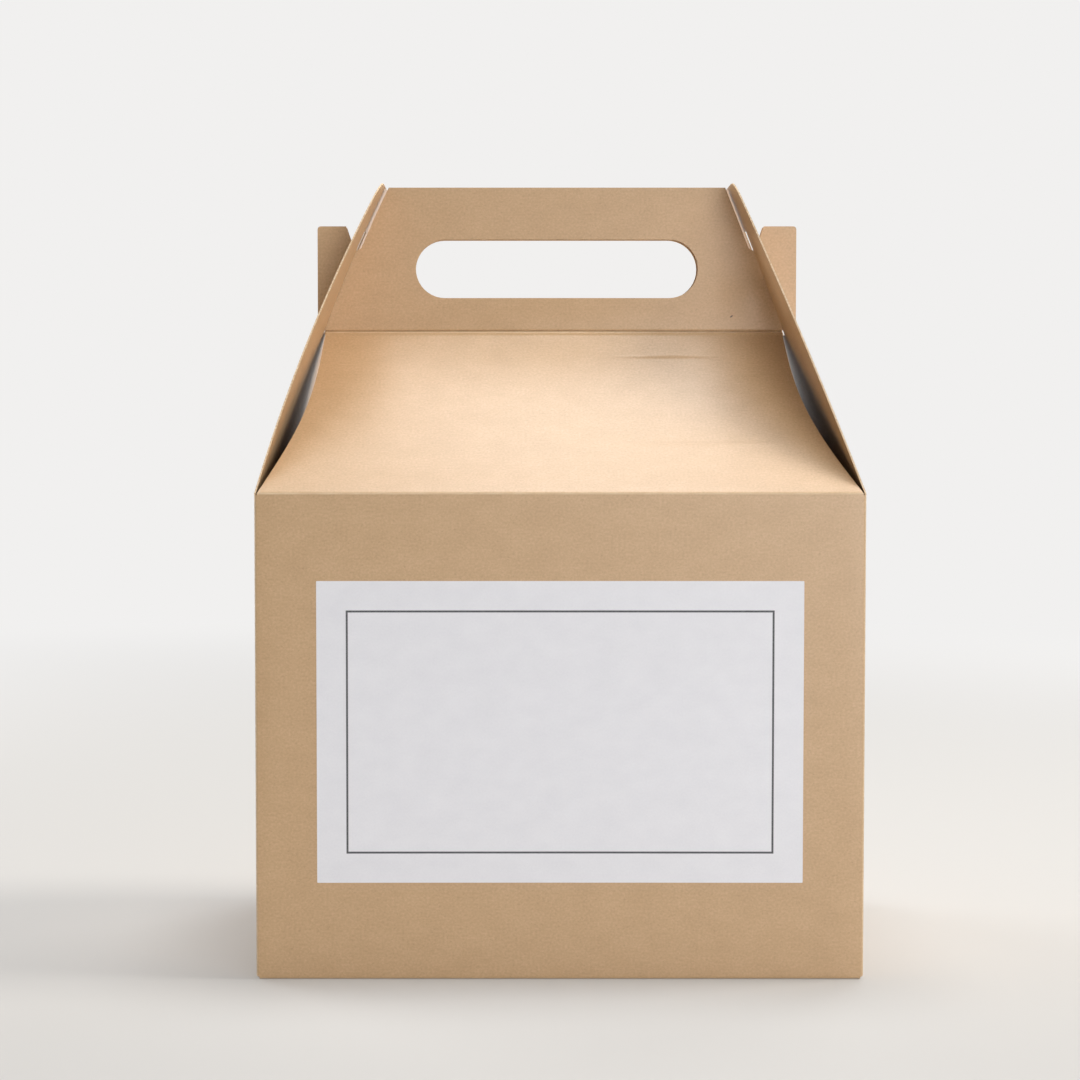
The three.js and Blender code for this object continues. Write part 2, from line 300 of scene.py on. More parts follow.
# Small bends of the roof and handle, outward where positive. The back has only those of the ridge.
dents = {
    # (height, rise, reach up): a bead, then a groove
    "ridge": [(0.3 * mm, 63.2 * mm, 0.45 * mm), (-0.35 * mm, 64.3 * mm, 0.35 * mm)],
    # (outward, reach across, reach up): the ridge comes out in its middle, and the handle leans back from it
    "lean": (1.8 * mm, 50 * mm, 14 * mm),
    # (x, rise, reach across, reach up, height), the wrinkles too
    "buckle": [(80 * mm, 77 * mm, 7 * mm, 9 * mm, 1.4 * mm)],
    "wrinkles": [
        (46 * mm, 53.5 * mm, 15 * mm, 0.5 * mm, 0.24 * mm),
        (52 * mm, 18.6 * mm, 34 * mm, 0.7 * mm, 0.12 * mm),
    ],
    "wrinkleRows": np.linspace(-1.5, 1.5, 13) * mm,    # a closer net about each wrinkle
    "slopeStep": 0.1 * mm,     # the slope is taken this far below and above a place
}


def backRelief(x, rise):
    return sum(height * bump(rise, centre, reach) for height, centre, reach in dents["ridge"])


def frontRelief(x, rise):
    out = backRelief(x, rise)
    for atX, atRise, reachX, reachRise, height in dents["buckle"] + dents["wrinkles"]:
        out += height * bump(x, atX, reachX) * bump(rise, atRise, reachRise)
    return out


# The roof panel and handle panel of one side, bent to shape as the front one.
def roofAndHandle(relief, holeShift, mirrored):
    right = sideOutline(-1 if mirrored else 1)
    left = [(-x, rise) for x, rise in reversed(sideOutline(1 if mirrored else -1))]
    fold = board["foldReach"]
    ridge = roof["rise"]
    below, above = ridge - roof["ridgeBelow"], ridge + roof["ridgeAbove"]
    rises = (
        list(np.linspace(-fold, fold, board["foldRows"]))
        + rowsBetween(fold, below, roof["rowStep"])
        + rowsBetween(below, above, roof["ridgeStep"])
        + rowsBetween(above, handleTop, handle["rowStep"])
        + [wrinkle[1] + row for wrinkle in dents["wrinkles"] for row in dents["wrinkleRows"]]
    )
    bm = flatSheet(right + left, [handHole(holeShift)], columnsX, sorted(rises))
    step = dents["slopeStep"]
    outward, leanX, leanRise = dents["lean"]
    for vert in bm.verts:
        x, rise = vert.co.x, vert.co.z
        slope = Vector((frontY(rise + step) - frontY(rise - step), 2 * step)).normalized()
        out = relief(x, rise)
        lean = outward * (bump(x, 0, leanX) * bump(rise, ridge, leanRise))
        vert.co = (x, frontY(rise) - slope.y * out - lean, creaseZ + rise + slope.x * out)
    return bm


print("outlines ready")


walls = {
    "tabWidth": 14 * mm,
    "tabInset": 5 * mm,
    "tabTaper": 7 * mm,
    "freeEdge": 0.3 * mm,      # how far the back wall's cut edge stays short of the corner
    "footRow": 1.6 * mm,
}


# How far a wall stands in, at a place along it, counted from its middle, and at a height.
def wallBow(along, halfLength, height):
    across = (along + halfLength) / (2 * halfLength)
    up = (height - walls["footRow"]) / (ringTop - walls["footRow"])
    across, up = (min(max(share, 0), 1) for share in (across, up))
    return board["wallBow"] * math.sin(math.pi * across) * math.sin(math.pi * up)


# The walls seen from above: tab, left, front, right, back, as one strip of (x, y).
def wallPath():
    radius = board["cornerRadius"]
    tabY = halfDepth - board["thickness"]

    def corner(x, y, start):
        angles = np.linspace(start, start + math.pi / 2, board["cornerSteps"] + 1)
        return [(x + radius * math.cos(a), y + radius * math.sin(a)) for a in angles]

    tabEnd = -halfWidth + board["thickness"] + walls["tabWidth"]
    path = [(tabEnd, tabY)] + corner(-flatHalfWidth, tabY - radius, math.pi / 2)
    path += [(-halfWidth, y) for y in columnsY[::-1][1:-1]]
    path += corner(-flatHalfWidth, -flatHalfDepth, math.pi)
    path += [(x, -halfDepth) for x in columnsX[1:-1]]
    path += corner(flatHalfWidth, -flatHalfDepth, math.pi * 1.5)
    path += [(halfWidth, y) for y in columnsY[1:-1]]
    path += corner(flatHalfWidth, flatHalfDepth, 0)
    path += [(x, halfDepth) for x in columnsX[::-1][1:]]
    path.append((-halfWidth + walls["freeEdge"], halfDepth))
    return path


cornerLength = board["cornerRadius"] * math.pi / 2
rightMiddleU = flatHalfWidth + cornerLength + flatHalfDepth
backMiddleU = rightMiddleU + flatHalfDepth + cornerLength + flatHalfWidth


def isEdge(thing):
    return isinstance(thing, bmesh.types.BMEdge)


def isVert(thing):
    return isinstance(thing, bmesh.types.BMVert)


# Grows the sheet from its edges and returns the new edges.
def extrudeBy(bm, edges, offset):
    made = bmesh.ops.extrude_edge_only(bm, edges=edges)["geom"]
    verts = [g for g in made if isVert(g)]
    bmesh.ops.translate(bm, verts=verts, vec=offset)
    fresh = set(verts)
    return [g for g in made if isEdge(g) and g.verts[0] in fresh and g.verts[1] in fresh]


# Folds the sheet on from its edges round a corner and returns the last edges.
def foldUnder(bm, edges, centre, axis, angle):
    made = bmesh.ops.spin(
        bm, geom=edges, cent=centre, axis=axis, angle=angle, steps=board["cornerSteps"], use_merge=False
    )
    return [g for g in made["geom_last"] if isEdge(g)]


def edgesWhere(bm, test):
    return [edge for edge in bm.edges if all(test(vert.co) for vert in edge.verts)]


def vertsOf(edges):
    return list(dict.fromkeys(vert for edge in edges for vert in edge.verts))


bottom = {
    "foldRadius": 1.0 * mm,
    "rows": 8,
    "frontLength": 52 * mm,
    "seamGap": 0.5 * mm,       # between the front and the back flap
    "sideLength": 62 * mm,
    "sideTaper": 16 * mm,
    "outerTaper": 1.2 * mm,
    "tongueHalfWidth": 35 * mm,
    "tongueLength": 26 * mm,
    "tongueTaper": 9 * mm,
    "tongueRamp": 3 * mm,
    "tongueGap": 0.05 * mm,    # between the tongue and the back flap
    "tongueRows": 4,
}


# Front and back bottom flaps lie outside, at the very bottom. facing is -1 for the front, 1 for the back.
def outerBottom(bm, facing, length):
    radius = bottom["foldRadius"]
    wallY = facing * halfDepth

    def onFoot(co):
        near = abs(co.y - wallY) < slack and abs(co.z - walls["footRow"]) < slack
        return near and abs(co.x) < flatHalfWidth + slack

    foot = edgesWhere(bm, onFoot)
    foot = extrudeBy(bm, foot, (0, 0, radius - walls["footRow"]))
    middle = (0, wallY - facing * radius, radius)
    fold = foldUnder(bm, foot, middle, (1, 0, 0), -facing * math.pi / 2)
    rows = bottom["rows"]
    reach = length - radius
    for _ in range(rows):
        fold = extrudeBy(bm, fold, (0, -facing * reach / rows, 0))
    narrow = 1 - bottom["outerTaper"] / flatHalfWidth
    bmesh.ops.scale(bm, vec=(narrow, 1, 1), verts=vertsOf(fold))
    return fold


# The tongue of the front flap slips over the back flap, one board higher.
def tongue(bm, seam):
    width = bottom["tongueHalfWidth"]
    middle = [e for e in seam if all(abs(v.co.x) < width for v in e.verts)]
    ramp = bottom["tongueRamp"]
    middle = extrudeBy(bm, middle, (0, ramp, board["thickness"] + bottom["tongueGap"]))
    rows = bottom["tongueRows"]
    for _ in range(rows):
        middle = extrudeBy(bm, middle, (0, (bottom["tongueLength"] - ramp) / rows, 0))
        narrow = 1 - bottom["tongueTaper"] / rows / width
        bmesh.ops.scale(bm, vec=(narrow, 1, 1), verts=vertsOf(middle))


# The side bottom flaps lie inside the front and back ones. facing is -1 for the left, 1 for the right.
def innerBottom(bm, facing):
    radius = bottom["foldRadius"]

    def onFoot(co):
        near = abs(co.x - facing * halfWidth) < slack and abs(co.z - walls["footRow"]) < slack
        return near and abs(co.y) < flatHalfDepth + slack

    foot = edgesWhere(bm, onFoot)
    middle = (facing * (halfWidth - radius), 0, walls["footRow"])
    fold = foldUnder(bm, foot, middle, (0, 1, 0), facing * math.pi / 2)
    rows = bottom["rows"]
    step = (bottom["sideLength"] - radius) / rows
    span = flatHalfDepth
    for _ in range(rows):
        fold = extrudeBy(bm, fold, (-facing * step, 0, 0))
        narrower = span - bottom["sideTaper"] / rows
        bmesh.ops.scale(bm, vec=(1, narrower / span, 1), verts=vertsOf(fold))
        span = narrower


# Walls and bottom, extruded from the foot row; each vertex of that row knows its length along the path.
def cartonSheet():
    path = wallPath()
    lengths = np.cumsum([0.0] + [math.dist(a, b) for a, b in zip(path, path[1:])])
    middle = path.index(min(path, key=lambda p: abs(p[0]) + abs(p[1] + halfDepth)))
    bm = newSheet()
    verts = [bm.verts.new((x, y, walls["footRow"])) for x, y in path]
    for pair in zip(verts, verts[1:]):
        bm.edges.new(pair)
    uAt = {(round(x / mm, 3), round(y / mm, 3)): s - lengths[middle] for (x, y), s in zip(path, lengths)}
    setPlaces(bm, verts, lambda co: (uAt[(round(co.x / mm, 3), round(co.y / mm, 3))], 0))
    rows = rowsBetween(walls["footRow"], ringTop, board["wallRowStep"])
    edges = bm.edges[:]
    for low, high in zip(rows, rows[1:]):
        edges = extrudeBy(bm, edges, (0, 0, high - low))
    v = bm.verts.layers.float["blankV"]
    for vert in bm.verts:
        vert[v] = vert.co.z
    print("walls up:", len(bm.faces), "faces")

    known = set(bm.verts)
    seam = outerBottom(bm, -1, bottom["frontLength"])
    tongue(bm, seam)
    outerBottom(bm, 1, 2 * halfDepth - bottom["frontLength"] - bottom["seamGap"])
    innerBottom(bm, -1)
    innerBottom(bm, 1)

    # below the walls, the place on the blank runs on along each flap
    for vert in set(bm.verts) - known:
        co = vert.co
        across = min(halfWidth - abs(co.x), halfDepth - abs(co.y))
        vert[v] = min(co.z, walls["footRow"]) - across
    print("bottom folded:", len(bm.faces), "faces")

    trimTab(bm)
    for vert in bm.verts:
        bowWall(vert)
    return bm


# The ends of the glued tab are cut at a slant.
def trimTab(bm):
    tabY = halfDepth - board["thickness"]
    root = Vector((-halfWidth + board["thickness"], tabY, walls["footRow"] + walls["tabInset"]))
    head = Vector((root.x, tabY, ringTop - walls["tabInset"]))
    for point, upward in ((root, -1), (head, 1)):
        across = Vector((walls["tabTaper"], 0, upward * walls["tabWidth"])).normalized()
        faces = [
            face
            for face in bm.faces
            if all(abs(v.co.y - tabY) < slack and v.co.x > -flatHalfWidth - slack for v in face.verts)
        ]
        parts = dict.fromkeys(part for face in faces for part in [*face.verts, *face.edges])
        bmesh.ops.bisect_plane(
            bm, geom=[*parts, *faces], dist=cutSlack, plane_co=point, plane_no=across, clear_outer=True
        )


def bowWall(vert):
    co = vert.co
    if not walls["footRow"] < co.z < ringTop:
        return
    tabY = halfDepth - board["thickness"]
    if abs(abs(co.x) - halfWidth) < slack:
        co.x -= math.copysign(wallBow(co.y, flatHalfDepth, co.z), co.x)
    elif abs(abs(co.y) - halfDepth) < slack:
        co.y -= math.copysign(wallBow(co.x, flatHalfWidth, co.z), co.y)
    elif abs(co.y - tabY) < slack:
        co.y -= wallBow(co.x, flatHalfWidth, co.z)


# Makes the sheet an object with a live wall of board. The cut edge takes the second material.
def finishSheet(bm, name, outwards, materials, thickness):
    bmesh.ops.remove_doubles(bm, verts=bm.verts[:], dist=weld)
    bmesh.ops.recalc_face_normals(bm, faces=bm.faces[:])
    if not outwards(bm):
        bmesh.ops.reverse_faces(bm, faces=bm.faces[:])
    uv = bm.loops.layers.uv.new("blank")
    u, v = bm.verts.layers.float["blankU"], bm.verts.layers.float["blankV"]
    for face in bm.faces:
        face.smooth = True
        for loop in face.loops:
            loop[uv].uv = (loop.vert[u], loop.vert[v])
    for edge in bm.edges:
        edge.smooth = not edge.is_boundary
    mesh = bpy.data.meshes.new(name)
    bm.to_mesh(mesh)
    bm.free()
    for material in materials:
        mesh.materials.append(material)
    piece = bpy.data.objects.new(name, mesh)
    bpy.context.scene.collection.objects.link(piece)
    wall = piece.modifiers.new("board", "SOLIDIFY")
    wall.thickness = thickness
    wall.offset = -1
    wall.use_even_offset = True
    wall.material_offset_rim = 1
    return piece


# Normal of the face that is nearest to a point, which shows which way a sheet's faces point.
def normalNear(bm, point):
    return min(bm.faces, key=lambda face: (face.calc_center_median() - Vector(point)).length).normal


def makeCarton(materials):
    bm = cartonSheet()
    for facing, relief, shift in ((-1, frontRelief, 0), (1, backRelief, handle["backShift"])):
        sheet = roofAndHandle(relief, shift, facing > 0)
        if facing > 0:
            halfTurn = Matrix.Rotation(math.pi, 3, "Z")
            bmesh.ops.rotate(sheet, verts=sheet.verts[:], cent=(0, 0, 0), matrix=halfTurn)

        def place(co):
            up = creaseZ + float(np.interp(co.z - creaseZ, front["up"], front["length"]))
            return (co.x, up) if facing < 0 else (backMiddleU - co.x, up)

        setPlaces(sheet, sheet.verts, place)
        part = bpy.data.meshes.new("part")
        sheet.to_mesh(part)
        sheet.free()
        bm.from_mesh(part)
        bpy.data.meshes.remove(part)
    frontMiddle = (0, -halfDepth, creaseZ / 2)
    piece = finishSheet(
        bm,
        "cartonBoard",
        lambda made: normalNear(made, frontMiddle).y < 0,
        materials,
        board["thickness"],
    )
    print("carton made:", len(piece.data.polygons), "faces")
    return piece


# The outer face of an end flap and the top of its wall seen from the front, as (distance, rise).
def flapLine(facing):
    fold = board["foldReach"]
    wallEnd = Vector((halfWidth, -fold))
    rises = np.linspace(fold, tipRise, flap["linePoints"])
    outer = [Vector((flapX(facing, rise, -half), rise)) for rise in rises]
    crease = quadratic(wallEnd, Vector((halfWidth, 0)), outer[0], board["foldSteps"])
    return [wallEnd - Vector((0, fold))] + crease + outer[1:]


# Rises of the slit's foot and head, so far from the hinge that the ears pass as the flap turns.
def slitEnds(facing):
    lowest, tries = flap["slitSearch"]
    rises = np.linspace(lowest, tipRise, tries)
    radii = [math.hypot(flapX(facing, rise) - hingeX, rise) for rise in rises]
    outer = flapX(facing, notchRise) + notchSide + handle["notchRun"]
    foot = math.hypot(hingeX - handle["earX"], roof["rise"] + handle["earFoot"]) - flap["slitClearance"]
    head = math.hypot(hingeX - outer, earTop) + flap["slitClearance"]
    return float(np.interp(foot, radii, rises)), float(np.interp(head, radii, rises))


def makeFlap(name, facing, materials):
    line = flapLine(facing)
    ups, outs = [p.y for p in line], [p.x for p in line]
    lengths = np.cumsum([0.0] + [(b - a).length for a, b in zip(line, line[1:])]) + ups[0]
    fold = board["foldReach"]
    rootHalf, tipHalf, tipRadius = flatHalfDepth, flap["tipHalfWidth"], flap["tipRadius"]
    side = Vector((rootHalf - tipHalf, -tipRise)).normalized()
    corner = quadratic(
        Vector((tipHalf, tipRise)) + side * tipRadius,
        Vector((tipHalf, tipRise)),
        Vector((tipHalf - tipRadius, tipRise)),
        flap["tipSteps"],
    )
    right = [(rootHalf, -fold), (rootHalf, 0)] + [tuple(p) for p in corner]
    left = [(-y, rise) for y, rise in reversed(right)]
    slitFoot, slitHead = slitEnds(facing)
    slitHalf = handle["gap"] / 2 + board["thickness"] + flap["slitClearance"]
    slit = [(-slitHalf, slitFoot), (slitHalf, slitFoot), (slitHalf, slitHead), (-slitHalf, slitHead)]
    rows = list(np.linspace(-fold, fold, flap["foldRows"])) + rowsBetween(fold, tipRise, flap["rowStep"])
    bm = flatSheet(right + left, [slit], columnsY, rows)
    for vert in bm.verts:
        y, rise = vert.co.x, vert.co.z
        vert.co = (facing * float(np.interp(rise, ups, outs)), y, creaseZ + rise)

    def place(co):
        up = creaseZ + float(np.interp(co.z - creaseZ, ups, lengths))
        return facing * (rightMiddleU + co.y), up

    setPlaces(bm, bm.verts, place)
    besideSlit = (facing * hingeX, 50 * mm, creaseZ + 40 * mm)
    piece = finishSheet(
        bm,
        name,
        lambda made: normalNear(made, besideSlit).x * facing > 0,
        materials,
        board["thickness"],
    )
    print(name, "made:", len(piece.data.polygons), "faces")
    return piece


label = {
    "thickness": 0.15 * mm,
    "cornerRadius": 0.3 * mm,
    "cornerPoints": 6,
    "frameInset": 11.1 * mm,
    "frameLine": 0.75 * mm,
    "columnCount": 24,
    "rowCount": 16,
}


# A thin sheet that follows the front wall's bow, bare apart from its frame line.
def makeLabel(materials):
    low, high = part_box("front_label")
    radius = label["cornerRadius"]
    outline = []
    for x, z, start in (
        (high.x - radius, high.z - radius, 0),
        (low.x + radius, high.z - radius, math.pi / 2),
        (low.x + radius, low.z + radius, math.pi),
        (high.x - radius, low.z + radius, math.pi * 1.5),
    ):
        for angle in np.linspace(start, start + math.pi / 2, label["cornerPoints"]):
            outline.append((x + radius * math.cos(angle), z + radius * math.sin(angle)))
    inset, line = label["frameInset"], label["frameLine"]
    cutsX = [low.x + inset, low.x + inset + line, high.x - inset - line, high.x - inset]
    cutsZ = [low.z + inset, low.z + inset + line, high.z - inset - line, high.z - inset]
    columns = np.linspace(low.x, high.x, label["columnCount"] + 1)[1:-1]
    rows = np.linspace(low.z, high.z, label["rowCount"] + 1)[1:-1]
    bm = flatSheet(outline, [], sorted([*columns, *cutsX]), sorted([*rows, *cutsZ]))
    for face in bm.faces:
        x, _, z = face.calc_center_median()
        outside = not (cutsX[0] < x < cutsX[3] and cutsZ[0] < z < cutsZ[3])
        inside = cutsX[1] < x < cutsX[2] and cutsZ[1] < z < cutsZ[2]
        face.material_index = 0 if outside or inside else 2
    setPlaces(bm, bm.verts, lambda co: (co.x, co.z))
    for vert in bm.verts:
        vert.co.y = -halfDepth - label["thickness"] + wallBow(vert.co.x, flatHalfWidth, vert.co.z)
    middle = ((low.x + high.x) / 2, -halfDepth, (low.z + high.z) / 2)
    piece = finishSheet(
        bm,
        "labelSheet",
        lambda made: normalNear(made, middle).y < 0,
        materials,
        label["thickness"],
    )
    print("label made:", len(piece.data.polygons), "faces")
    return piece


# An sRGB hex colour as the linear colour that nodes take.
def linear(hexColour):
    channels = [int(hexColour[i:i + 2], 16) / 255 for i in (1, 3, 5)]
    return [c / 12.92 if c <= 0.04045 else ((c + 0.055) / 1.055) ** 2.4 for c in channels] + [1.0]


# Adds a node; settings are its properties or socket values, links are sockets fed by other nodes' outputs.
def addNode(tree, kind, settings=None, links=None):
    node = tree.nodes.new(kind)
    for key, value in (settings or {}).items():
        if key == "stops":
            ramp = node.color_ramp
            while len(ramp.elements) < len(value):
                ramp.elements.new(0.5)
            for element, (position, colour) in zip(ramp.elements, value):
                element.position = position
                element.color = colour
        elif isinstance(key, str) and hasattr(node, key):
            setattr(node, key, value)
        else:
            node.inputs[key].default_value = value
    for key, source in (links or {}).items():
        tree.links.new(source, node.inputs[key])
    return node


def newMaterial(name):
    material = bpy.data.materials.new(name)
    material.use_nodes = True
    tree = material.node_tree
    tree.nodes.clear()
    return material, tree


# Place on the unfolded blank in pattern sizes: one unit is the given millimetres across and up.
def blankPlace(tree, across, up):
    uv = addNode(tree, "ShaderNodeUVMap", {"uv_map": "blank"})
    scale = (1 / (across * mm), 1 / (up * mm), 1)
    return addNode(tree, "ShaderNodeMapping", {"Scale": scale}, {"Vector": uv.outputs["UV"]}).outputs["Vector"]


kraft = {
    "dark": "#b4916a",
    "base": "#c9a67d",
    "light": "#ddba93",
    "speck": "#9c7a55",
    # paler along the creases: real wear, and at the ridge also a painted highlight of the bead
    "wornAndHighlight": "#ecd8ba",
    # darker line at the ridge: painted shade in the groove's valley, partly pressed fibre
    "groove": "#8f6d49",
    "bark": "#4a2e16",
    "toneStops": (0.2, 0.5, 0.8),    # where dark, base and light lie
    "cloud": (13.0, 9.0),      # mm across and up, uneven pulp in the sheet
    "grain": (0.95, 0.85),     # mm, drawn coarse: fibres are 0.03 mm wide
    "fibre": (5.0, 0.9),       # mm, the run of the paper machine, drawn coarse
    "fleck": (1.0, 0.7),       # mm, knots of darker fibre
    "detail": {"cloud": 3.0, "grain": 2.0, "fibre": 2.0, "fleck": 0.0},
    "detailRoughness": 0.55,
    "swing": {"cloud": 0.22, "grain": 0.5, "fibre": 0.12},    # how far each pattern shifts the tone
    "fleckFade": (0.68, 0.78),
    "fleckShare": 0.2,
    "wornAndHighlightShare": 1.0,
    "wornAndHighlightReach": 0.6,          # mm to each side of a crease
    "grooveShare": 1.5,
    "grooveReach": 0.4,        # mm
    "grooveRise": 0.35,        # mm above the ridge
    "barkPlace": (70.9, 70.2),    # mm from the middle and above the walls, one chip in the front handle
    "barkSize": (0.8, 0.32),   # mm, half its length and width
    "barkTilt": 35,            # degrees
    "barkFade": (0.6, 1.1),
    "bump": 0.1,
    "bumpHeight": 0.05,        # mm
    "roughness": 0.4,
    "ior": 1.55,
}


# Uncoated kraft board off a paper machine: brown wood fibre, matt, with soft clouds, a run of fibres and knots.
def kraftBoard(name, creases, ridgeV=None):
    material, tree = newMaterial(name)
    patterns = {}
    for part, detail in kraft["detail"].items():
        patterns[part] = addNode(
            tree, "ShaderNodeTexNoise",
            {"Scale": 1.0, "Detail": detail, "Roughness": kraft["detailRoughness"]},
            {"Vector": blankPlace(tree, *kraft[part])},
        ).outputs["Fac"]
    shade = None
    rest = 0.5 - sum(kraft["swing"].values()) / 2    # keeps the middle of all swings at 0.5
    for part, swing in kraft["swing"].items():
        settings = {"operation": "MULTIPLY_ADD", 1: swing, 2: rest}
        links = {0: patterns[part]} if shade is None else {0: patterns[part], 2: shade}
        shade = addNode(tree, "ShaderNodeMath", settings, links).outputs[0]
    tones = [linear(kraft[tone]) for tone in ("dark", "base", "light")]
    stops = list(zip(kraft["toneStops"], tones))
    tone = addNode(tree, "ShaderNodeValToRGB", {"stops": stops}, {"Fac": shade}).outputs["Color"]

    fadeFrom, fadeTo = kraft["fleckFade"]
    settings = {"From Min": fadeFrom, "From Max": fadeTo, "To Max": kraft["fleckShare"]}
    knot = addNode(tree, "ShaderNodeMapRange", settings, {"Value": patterns["fleck"]}).outputs["Result"]
    settings = {"data_type": "RGBA", 7: linear(kraft["speck"])}
    tone = addNode(tree, "ShaderNodeMix", settings, {0: knot, 6: tone}).outputs[2]

    place = addNode(tree, "ShaderNodeSeparateXYZ", None, {"Vector": blankPlace(tree, 1.0, 1.0)})

    # closeness to any of the lines, 1 on a line and 0 beyond the reach
    def nearLines(lines, reach):
        closest = None
        for axis, at in lines:
            settings = {"operation": "SUBTRACT", 1: at / mm}
            away = addNode(tree, "ShaderNodeMath", settings, {0: place.outputs[axis]}).outputs[0]
            away = addNode(tree, "ShaderNodeMath", {"operation": "ABSOLUTE"}, {0: away}).outputs[0]
            settings = {"interpolation_type": "SMOOTHSTEP", "From Max": reach, "To Min": 1.0, "To Max": 0.0}
            near = addNode(tree, "ShaderNodeMapRange", settings, {"Value": away}).outputs["Result"]
            if closest is not None:
                near = addNode(
                    tree, "ShaderNodeMath", {"operation": "MAXIMUM"}, {0: near, 1: closest}
                ).outputs[0]
            closest = near
        return closest

    # the outer fibres are stretched and paler along the creases; at the ridge this paler line is also a painted
    # highlight of the bead below the fold, and the darker line in the groove above it is painted shade, partly
    # pressed fibre
    lines = {"wornAndHighlight": creases}
    if ridgeV is not None:
        # painted shade: a dark line in the ridge groove, partly pressed fibre
        lines["groove"] = [("Y", ridgeV + kraft["grooveRise"] * mm)]
    for colour, places in lines.items():
        near = nearLines(places, kraft[colour + "Reach"])
        links = {0: near, 1: patterns["fibre"]}
        near = addNode(tree, "ShaderNodeMath", {"operation": "MULTIPLY"}, links).outputs[0]
        settings = {"operation": "MULTIPLY", 1: kraft[colour + "Share"]}
        near = addNode(tree, "ShaderNodeMath", settings, {0: near}).outputs[0]
        settings = {"data_type": "RGBA", 7: linear(kraft[colour])}
        tone = addNode(tree, "ShaderNodeMix", settings, {0: near, 6: tone}).outputs[2]

    if ridgeV is not None:
        chipX, chipRise = kraft["barkPlace"]
        chipV = (creaseZ + float(np.interp(chipRise * mm, front["up"], front["length"]))) / mm
        settings = {
            "vector_type": "TEXTURE",
            "Location": (chipX, chipV, 0),
            "Rotation": (0, 0, math.radians(kraft["barkTilt"])),
            "Scale": (*kraft["barkSize"], 1),
        }
        spot = addNode(tree, "ShaderNodeMapping", settings, {"Vector": blankPlace(tree, 1.0, 1.0)})
        links = {0: spot.outputs["Vector"]}
        away = addNode(tree, "ShaderNodeVectorMath", {"operation": "LENGTH"}, links).outputs["Value"]
        fadeFrom, fadeTo = kraft["barkFade"]
        settings = {"From Min": fadeFrom, "From Max": fadeTo, "To Min": 1.0, "To Max": 0.0}
        chip = addNode(tree, "ShaderNodeMapRange", settings, {"Value": away}).outputs["Result"]
        settings = {"data_type": "RGBA", 7: linear(kraft["bark"])}
        tone = addNode(tree, "ShaderNodeMix", settings, {0: chip, 6: tone}).outputs[2]

    settings = {"Strength": kraft["bump"], "Distance": kraft["bumpHeight"] * mm}
    rough = addNode(tree, "ShaderNodeBump", settings, {"Height": shade})
    shader = addNode(
        tree, "ShaderNodeBsdfPrincipled",
        {"Roughness": kraft["roughness"], "IOR": kraft["ior"]},
        {"Base Color": tone, "Normal": rough.outputs["Normal"]},
    )
    addNode(tree, "ShaderNodeOutputMaterial", None, {"Surface": shader.outputs["BSDF"]})
    return material


cutEdge = {
    "dark": "#cfae86",
    "light": "#efdcc0",
    "ply": (2.5, 0.6),         # mm, torn fibre ends along the cut
    "roughness": 0.85,
}

paper = {
    "dark": "#ececf2",
    "light": "#f3f3f8",
    "cloud": (11.0, 8.0),      # mm, soft mottle of the paper
    "grain": (0.8, 0.8),       # mm, drawn coarse
    "roughness": 0.5,
}

ink = {
    "dark": "#48484c",
    "light": "#5e5e63",
    "grain": (0.5, 0.5),       # mm, paper tooth that shows through the print, drawn coarse
    "roughness": 0.6,
}

fibreTooth = {
    "detail": 2.0,
    "stops": (0.3, 0.7),
    "bump": 0.08,
    "bumpHeight": 0.03,        # mm
    "ior": 1.5,
}


# Matt fibre surfaces of two near tones, mixed by one or two noise patterns of real size.
def fibreSurface(name, look, sizes):
    material, tree = newMaterial(name)
    shade = None
    for size in sizes:
        settings = {"Scale": 1.0, "Detail": fibreTooth["detail"]}
        links = {"Vector": blankPlace(tree, *size)}
        pattern = addNode(tree, "ShaderNodeTexNoise", settings, links).outputs["Fac"]
        if shade is not None:
            pattern = addNode(tree, "ShaderNodeMix", {0: 0.5}, {2: shade, 3: pattern}).outputs[0]
        shade = pattern
    stops = list(zip(fibreTooth["stops"], (linear(look["dark"]), linear(look["light"]))))
    tone = addNode(tree, "ShaderNodeValToRGB", {"stops": stops}, {"Fac": shade}).outputs["Color"]
    settings = {"Strength": fibreTooth["bump"], "Distance": fibreTooth["bumpHeight"] * mm}
    rough = addNode(tree, "ShaderNodeBump", settings, {"Height": shade})
    shader = addNode(
        tree, "ShaderNodeBsdfPrincipled",
        {"Roughness": look["roughness"], "IOR": fibreTooth["ior"]},
        {"Base Color": tone, "Normal": rough.outputs["Normal"]},
    )
    addNode(tree, "ShaderNodeOutputMaterial", None, {"Surface": shader.outputs["BSDF"]})
    return material


# the carton's creases as lines on the unfolded blank
ridgeV = creaseZ + float(np.interp(roof["rise"], front["up"], front["length"]))
cornerU = flatHalfWidth + cornerLength / 2
cornersU = (-cornerU, cornerU, cornerU + 2 * flatHalfDepth + cornerLength)
# the ridge's paler line sits just below the fold, where it is a painted highlight of the bead
foldLines = [("Y", v) for v in (creaseZ, ridgeV - kraft["grooveRise"] * mm, 0)] + [("X", u) for u in cornersU]
cartonKraft = kraftBoard("kraftBoard", foldLines, ridgeV)
flapKraft = kraftBoard("kraftBoardFlap", [("Y", creaseZ)])

# die-cut kraft board shows paler torn fibre; calendered label paper is smooth, cool white and faintly mottled;
# the frame line is flat grey print
cutBoard = fibreSurface("boardCutEdge", cutEdge, [cutEdge["ply"]])
labelPaper = fibreSurface("labelPaper", paper, [paper["cloud"], paper["grain"]])
printedLine = fibreSurface("printedLine", ink, [ink["grain"]])
print("materials made")

carton = makeCarton([cartonKraft, cutBoard])
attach(carton, "carton")
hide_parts("carton")

